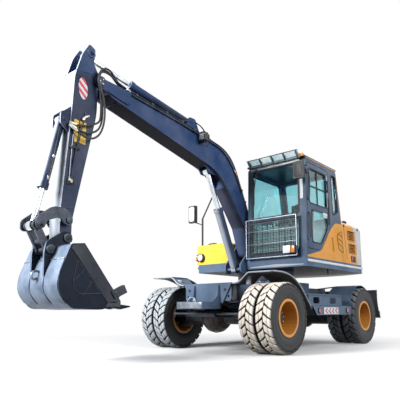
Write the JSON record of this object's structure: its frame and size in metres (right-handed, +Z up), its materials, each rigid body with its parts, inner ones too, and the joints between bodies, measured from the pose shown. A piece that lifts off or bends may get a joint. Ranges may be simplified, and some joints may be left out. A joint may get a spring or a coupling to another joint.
{
  "type": "wheeled excavator",
  "caption": "Wheeled excavator with twin tyres, a cranked boom with arm and bucket, a glazed cab on the left, rounded tail and a rear dozer blade.",
  "frame": {"origin": "on the ground under the middle of the machine's length, on the middle plane of the wheels", "axes": "+X forward to the steered axle and the digging arm, +Y to the machine's left, +Z up"},
  "size_m": [5.665, 2.244, 3.4314],
  "materials": {
    "arm_paint": "semi-gloss dark slate enamel, dusty",
    "axle_metal": "cast and painted, oily",
    "bare_steel": "ground, oiled",
    "black_paint": "satin black",
    "black_plastic": "grained black",
    "boom_paint": "semi-gloss blue enamel, dusty",
    "bucket_steel": "worn dark enamel with bare edges",
    "cab_glass": "tinted, clean",
    "cab_paint": "slate blue-grey enamel",
    "chassis_paint": "steel blue-grey enamel, dusty",
    "engine_iron": "cast, oily",
    "lamp_plastic": "clear and amber lenses",
    "orange_paint": "golden-orange enamel, sun-faded",
    "pale_paint": "pale grey enamel, chalky",
    "rim_paint": "orange-yellow enamel, dusty",
    "rod_chrome": "hard chrome, oiled",
    "seat_cloth": "black woven cloth",
    "tyre_rubber": "matte, dusty",
    "yellow_paint": "bright yellow enamel"
  },
  "bodies": {
    "chassis": {"chassis_frame": "chassis_paint", "slew_bearing": "axle_metal", "gearbox_and_shafts": "axle_metal", "front_axle": "axle_metal", "rear_axle": "axle_metal", "steering_cylinder": "axle_metal", "fender_and_step_left": "chassis_paint", "fender_and_step_right": "chassis_paint", "step_lamps": "lamp_plastic"},
    "knuckle_left": {"knuckle_left": "axle_metal"},
    "knuckle_right": {"knuckle_right": "axle_metal"},
    "steering_rod": {"steering_rod": "rod_chrome"},
    "wheel_front_left": {"rims_front_left": "rim_paint", "tyres_front_left": "tyre_rubber"},
    "wheel_front_right": {"rims_front_right": "rim_paint", "tyres_front_right": "tyre_rubber"},
    "wheel_rear_left": {"rims_rear_left": "rim_paint", "tyres_rear_left": "tyre_rubber"},
    "wheel_rear_right": {"rims_rear_right": "rim_paint", "tyres_rear_right": "tyre_rubber"},
    "blade_lower_links": {"blade_lower_links": "chassis_paint"},
    "dozer_blade": {"dozer_blade": "chassis_paint"},
    "blade_upper_links": {"blade_upper_links": "chassis_paint"},
    "blade_cylinder_barrel": {"blade_cylinder_barrel": "black_paint"},
    "blade_cylinder_rod": {"blade_cylinder_rod": "rod_chrome"},
    "house": {"deck": "chassis_paint", "counterweight": "pale_paint", "engine_hood": "orange_paint", "engine": "engine_iron", "tank_box": "yellow_paint", "boom_bracket": "chassis_paint", "cab_frame": "cab_paint", "cab_lower_panel": "orange_paint", "cab_glass": "cab_glass", "cab_roof": "cab_paint", "seat": "seat_cloth", "steering_column": "black_plastic", "window_guard": "black_paint", "visor": "black_plastic", "visor_stays": "black_paint", "mirrors": "black_plastic", "front_lamps": "lamp_plastic"},
    "cab_door": {"cab_door": "cab_paint", "cab_door_glass": "cab_glass"},
    "boom": {"boom": "boom_paint"},
    "boom_cylinder_barrel": {"boom_cylinder_barrel": "boom_paint"},
    "boom_cylinder_rod": {"boom_cylinder_rod": "rod_chrome"},
    "arm": {"arm": "arm_paint"},
    "arm_cylinder_barrel": {"arm_cylinder_barrel": "arm_paint"},
    "arm_cylinder_rod": {"arm_cylinder_rod": "rod_chrome"},
    "bucket": {"bucket": "bucket_steel"},
    "guide_links": {"guide_links": "bare_steel"},
    "connecting_link": {"connecting_link": "black_paint"},
    "bucket_cylinder_barrel": {"bucket_cylinder_barrel": "arm_paint"},
    "bucket_cylinder_rod": {"bucket_cylinder_rod": "rod_chrome"}
  },
  "joints": [
    {"name": "steer_left", "type": "hinge", "parent": "chassis", "child": "knuckle_left", "pos_m": [0.14, 0.65, 0.43], "axis": [0, 0, 1], "range_deg": [-25, 25]},
    {"name": "steer_right", "type": "hinge", "parent": "chassis", "child": "knuckle_right", "pos_m": [0.14, -0.65, 0.43], "axis": [0, 0, 1], "range_deg": [-25.2, 25.2]},
    {"name": "steering_rod_slide", "type": "slide", "parent": "chassis", "child": "steering_rod", "axis": [0, 1, 0], "range_m": [-0.10759, 0.10759]},
    {"name": "wheel_front_left_spin", "type": "hinge", "parent": "knuckle_left", "child": "wheel_front_left", "pos_m": [0.14, 0.859, 0.43], "axis": [0, 1, 0], "continuous": true},
    {"name": "wheel_front_right_spin", "type": "hinge", "parent": "knuckle_right", "child": "wheel_front_right", "pos_m": [0.14, -0.859, 0.43], "axis": [0, 1, 0], "continuous": true},
    {"name": "wheel_rear_left_spin", "type": "hinge", "parent": "chassis", "child": "wheel_rear_left", "pos_m": [-2.16, 0.859, 0.43], "axis": [0, 1, 0], "continuous": true},
    {"name": "wheel_rear_right_spin", "type": "hinge", "parent": "chassis", "child": "wheel_rear_right", "pos_m": [-2.16, -0.859, 0.43], "axis": [0, 1, 0], "continuous": true},
    {"name": "blade_lift", "type": "hinge", "parent": "chassis", "child": "blade_lower_links", "pos_m": [-2.372, 0, 0.352], "axis": [0, 1, 0], "range_deg": [-90, 5]},
    {"name": "blade_level", "type": "hinge", "parent": "blade_lower_links", "child": "dozer_blade", "pos_m": [-2.64913, 0, 0.512], "axis": [0, 1, 0], "range_deg": [-5.2, 90.2]},
    {"name": "blade_upper_links_pivot", "type": "hinge", "parent": "chassis", "child": "blade_upper_links", "pos_m": [-2.372, 0, 0.552], "axis": [0, 1, 0], "range_deg": [-90.2, 5.2]},
    {"name": "blade_cylinder_pivot", "type": "hinge", "parent": "chassis", "child": "blade_cylinder_barrel", "pos_m": [-2.44, 0, 0.77], "axis": [0, 1, 0], "range_deg": [-10.6, 0.78]},
    {"name": "blade_cylinder_stroke", "type": "slide", "parent": "blade_cylinder_barrel", "child": "blade_cylinder_rod", "axis": [-0.1493, 0, -0.9888], "range_m": [-0.01141, 0.17139]},
    {"name": "house_slew", "type": "hinge", "parent": "chassis", "child": "house", "pos_m": [-1.01, 0, 1.108], "axis": [0, 0, 1], "continuous": true},
    {"name": "cab_door_swing", "type": "hinge", "parent": "house", "child": "cab_door", "pos_m": [-0.57, 1.006, 1.97], "axis": [0, 0, -1], "range_deg": [0, 95]},
    {"name": "boom_lift", "type": "hinge", "parent": "house", "child": "boom", "pos_m": [-0.81, -0.17, 1.4], "axis": [0, -1, 0], "range_deg": [-60, 26]},
    {"name": "boom_cylinder_pivot", "type": "hinge", "parent": "house", "child": "boom_cylinder_barrel", "pos_m": [-0.45, -0.17, 1.118], "axis": [0, -1, 0], "range_deg": [-61.54, 26.78]},
    {"name": "boom_cylinder_stroke", "type": "slide", "parent": "boom_cylinder_barrel", "child": "boom_cylinder_rod", "axis": [0.4221, 0, 0.9065], "range_m": [-0.43443, 0.18939]},
    {"name": "arm_crowd", "type": "hinge", "parent": "boom", "child": "arm", "pos_m": [2.151, -0.17, 3.042], "axis": [0, 1, 0], "range_deg": [-62, 52]},
    {"name": "arm_cylinder_pivot", "type": "hinge", "parent": "boom", "child": "arm_cylinder_barrel", "pos_m": [0.595, -0.17, 3.085], "axis": [0, 1, 0], "range_deg": [-5.1, 4.31]},
    {"name": "arm_cylinder_stroke", "type": "slide", "parent": "arm_cylinder_barrel", "child": "arm_cylinder_rod", "axis": [0.9891, 0, 0.1469], "range_m": [-0.27882, 0.23417]},
    {"name": "bucket_curl", "type": "hinge", "parent": "arm", "child": "bucket", "pos_m": [2.476, -0.17, 1.239], "axis": [0, 1, 0], "range_deg": [-62, 75]},
    {"name": "guide_links_pivot", "type": "hinge", "parent": "arm", "child": "guide_links", "pos_m": [2.484, -0.17, 1.413], "axis": [0, 1, 0], "range_deg": [-46.41, 56.1]},
    {"name": "connecting_link_pivot", "type": "hinge", "parent": "guide_links", "child": "connecting_link", "pos_m": [2.786, -0.17, 1.338], "axis": [0, 1, 0], "range_deg": [-27.48, 22.76]},
    {"name": "bucket_cylinder_pivot", "type": "hinge", "parent": "arm", "child": "bucket_cylinder_barrel", "pos_m": [2.546, -0.17, 2.492], "axis": [0, 1, 0], "range_deg": [-5.58, 6.71]},
    {"name": "bucket_cylinder_stroke", "type": "slide", "parent": "bucket_cylinder_barrel", "child": "bucket_cylinder_rod", "axis": [0.2036, 0, -0.9791], "range_m": [-0.21214, 0.25621]}
  ],
  "couplings": [
    {"joint": "steer_right", "follows": "steer_left", "ratio": 1},
    {"joint": "steering_rod_slide", "follows": "steer_left", "m_per_rad": 0.242},
    {"joint": "blade_level", "follows": "blade_lift", "ratio": -1},
    {"joint": "blade_upper_links_pivot", "follows": "blade_lift", "ratio": 1},
    {"joint": "blade_cylinder_pivot", "follows": "blade_lift", "ratio": 0.1156},
    {"joint": "blade_cylinder_stroke", "follows": "blade_lift", "m_per_rad": -0.10784},
    {"joint": "boom_cylinder_pivot", "follows": "boom_lift", "ratio": 1.0224},
    {"joint": "boom_cylinder_stroke", "follows": "boom_lift", "m_per_rad": 0.41294},
    {"joint": "arm_cylinder_pivot", "follows": "arm_crowd", "ratio": 0.0791},
    {"joint": "arm_cylinder_stroke", "follows": "arm_crowd", "m_per_rad": 0.25582},
    {"joint": "guide_links_pivot", "follows": "bucket_curl", "ratio": 0.7454},
    {"joint": "connecting_link_pivot", "follows": "bucket_curl", "ratio": -0.3638},
    {"joint": "bucket_cylinder_pivot", "follows": "bucket_curl", "ratio": 0.0868},
    {"joint": "bucket_cylinder_stroke", "follows": "bucket_curl", "m_per_rad": 0.1942}
  ]
}
